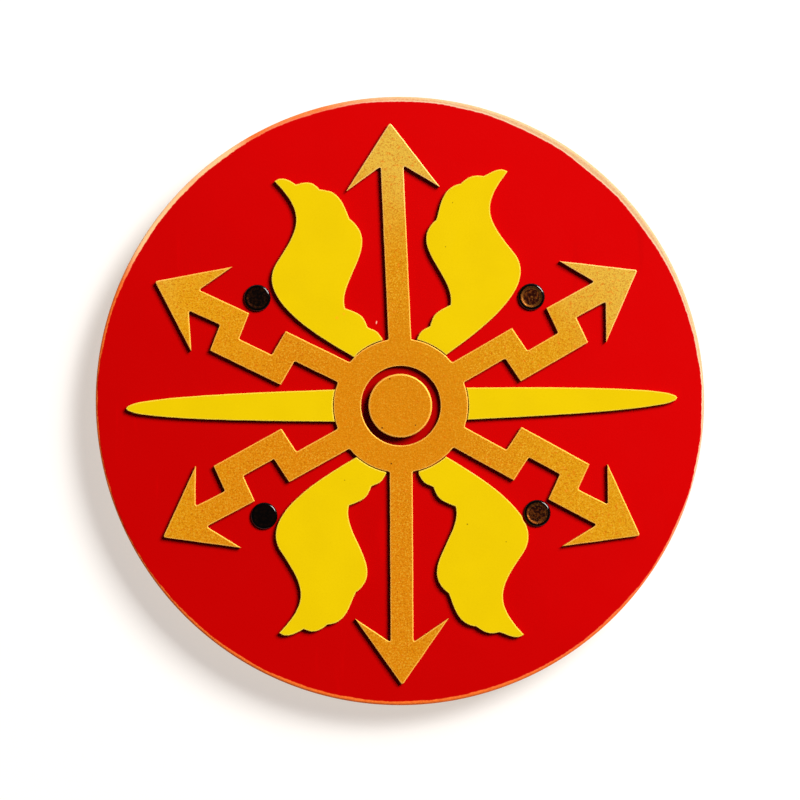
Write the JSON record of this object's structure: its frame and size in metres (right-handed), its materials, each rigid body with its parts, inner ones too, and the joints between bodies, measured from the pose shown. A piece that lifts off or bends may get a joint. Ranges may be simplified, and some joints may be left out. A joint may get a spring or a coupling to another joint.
{
  "type": "round roman toy shield",
  "caption": "Round wooden toy shield with a raised emblem of wings and thunderbolt arrows round a boss, and leather grip straps bolted to its back.",
  "frame": {"origin": "under the middle of the board, on the surface that the straps' crowns rest on", "axes": "+Z out of the painted face, +Y towards the top of the emblem, +X to the right of the face"},
  "size_m": [0.35, 0.35, 0.0315],
  "materials": {
    "red_paint": "satin red paint on the face of a wooden board, gold paint on its rounded edge, plain wood behind",
    "gold_paint": "grainy metallic gold paint on wood, with brighter worn edges",
    "yellow_paint": "satin yellow paint on wood, with a few pinholes",
    "dark_bronze": "dark bronze-coloured plating, polished at the shoulder and mottled in the recess",
    "strap_leather": "brown leather with burnished edges and a row of stitches along each side"
  },
  "bodies": {
    "root": {"shield_board": "red_paint", "arrow_star": "gold_paint", "centre_boss": "gold_paint", "wing_upper_right": "yellow_paint", "wing_upper_left": "yellow_paint", "wing_lower_left": "yellow_paint", "wing_lower_right": "yellow_paint", "spike_left": "yellow_paint", "spike_right": "yellow_paint", "bolt_upper_right": "dark_bronze", "bolt_upper_left": "dark_bronze", "bolt_lower_left": "dark_bronze", "bolt_lower_right": "dark_bronze", "nut_upper_right": "dark_bronze", "nut_upper_left": "dark_bronze", "nut_lower_left": "dark_bronze", "nut_lower_right": "dark_bronze", "strap_left": "strap_leather", "strap_right": "strap_leather"}
  },
  "joints": []
}
